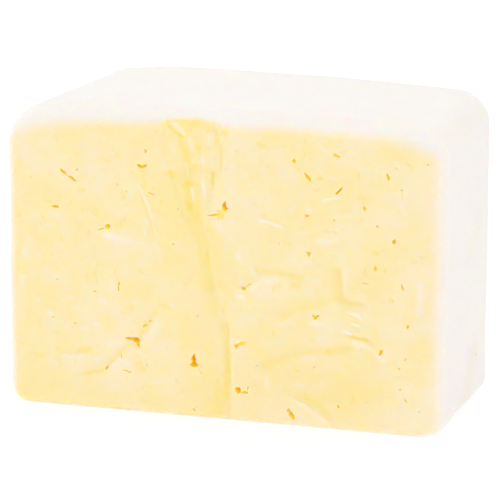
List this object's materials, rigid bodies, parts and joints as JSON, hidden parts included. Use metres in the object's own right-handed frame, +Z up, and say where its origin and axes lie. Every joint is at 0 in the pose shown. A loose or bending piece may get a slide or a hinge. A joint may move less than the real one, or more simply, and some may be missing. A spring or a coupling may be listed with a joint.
{
  "type": "cheddar block",
  "caption": "Block of pale cheddar, longer than it is high, with a fresh-cut yellow face full of small curd openings and a smooth paler skin on its other sides.",
  "frame": {"origin": "middle of the block's box, on the flat underside that it rests on", "axes": "+X along the block's length, to the right as the cut face is seen; +Y from the cut face to the back; +Z up"},
  "size_m": [0.1108, 0.0514, 0.0789],
  "materials": {
    "cheese": "soft satin"
  },
  "bodies": {
    "root": {"cheddar_block": "cheese"}
  },
  "joints": []
}
